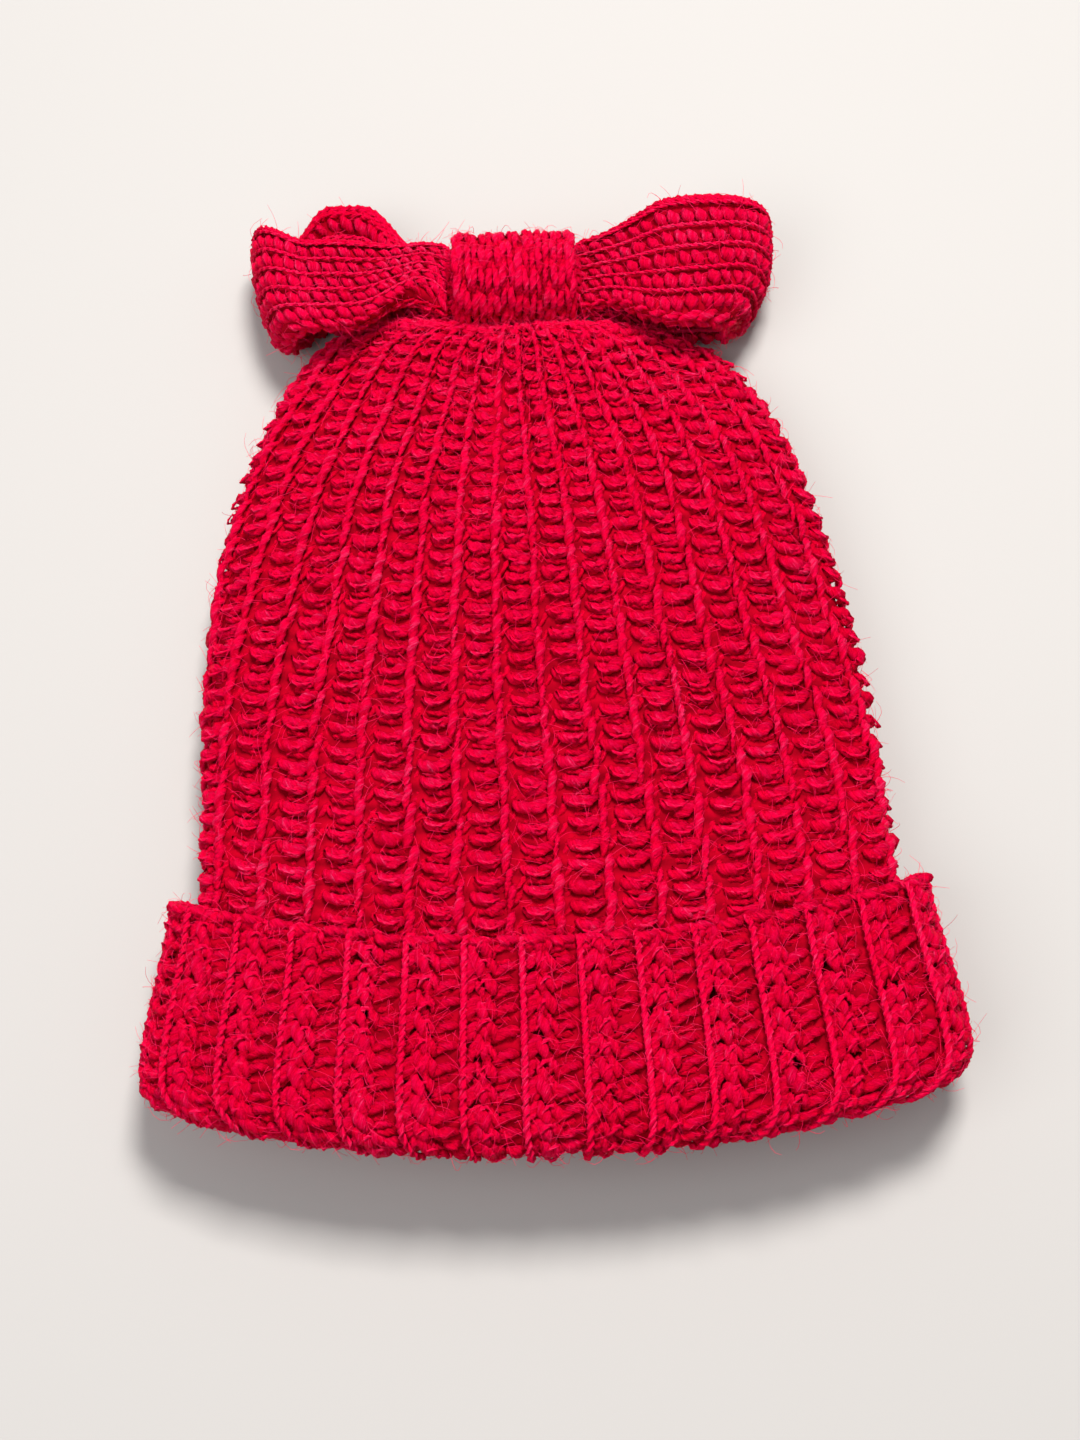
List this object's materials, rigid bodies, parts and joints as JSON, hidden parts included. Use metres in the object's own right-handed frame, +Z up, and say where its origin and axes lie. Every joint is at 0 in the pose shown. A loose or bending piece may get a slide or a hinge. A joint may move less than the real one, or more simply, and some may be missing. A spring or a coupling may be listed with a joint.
{
  "type": "knitted hat",
  "caption": "Chunky ribbed knitted winter hat with a turned-up cuff and a knitted bow sewn to the top of the crown, lying flat.",
  "frame": {"origin": "centre of the bounding box's footprint, on the surface that the hat lies on", "axes": "+X across the hat to its right as seen from above with the bow at the top, +Y from the mouth to the bow, +Z up from the surface to the front of the hat"},
  "size_m": [0.2098, 0.288, 0.0398],
  "materials": {
    "hat_knit": "soft chunky knit with a slight sheen",
    "bow_knit": "soft chunky knit with a slight sheen",
    "sewing_yarn": "plied yarn"
  },
  "bodies": {
    "hat": {"crown_shell": "hat_knit", "turned_up_cuff": "hat_knit", "crown_gather_yarn": "sewing_yarn", "bow_anchor_stitch_left": "sewing_yarn", "bow_anchor_stitch_right": "sewing_yarn"},
    "bow_centre": {"bow_centre_wrap": "bow_knit", "bow_neck": "bow_knit", "neck_binding_yarn": "sewing_yarn", "wrap_closing_stitch_1": "sewing_yarn", "wrap_closing_stitch_2": "sewing_yarn", "wrap_closing_stitch_3": "sewing_yarn"},
    "bow_left": {"bow_left_loop": "bow_knit"},
    "bow_right": {"bow_right_loop": "bow_knit"}
  },
  "joints": [
    {"name": "bow_tilt", "type": "hinge", "parent": "hat", "child": "bow_centre", "pos_m": [-0.003, 0.0994, 0.0179], "axis": [1, 0, 0], "range_deg": [0, 45]},
    {"name": "bow_left_flap", "type": "hinge", "parent": "bow_centre", "child": "bow_left", "pos_m": [-0.0227, 0.1135, 0.0204], "axis": [0, 1, 0], "range_deg": [0, 40]},
    {"name": "bow_right_flap", "type": "hinge", "parent": "bow_centre", "child": "bow_right", "pos_m": [0.0167, 0.1135, 0.0204], "axis": [0, -1, 0], "range_deg": [0, 40]}
  ]
}
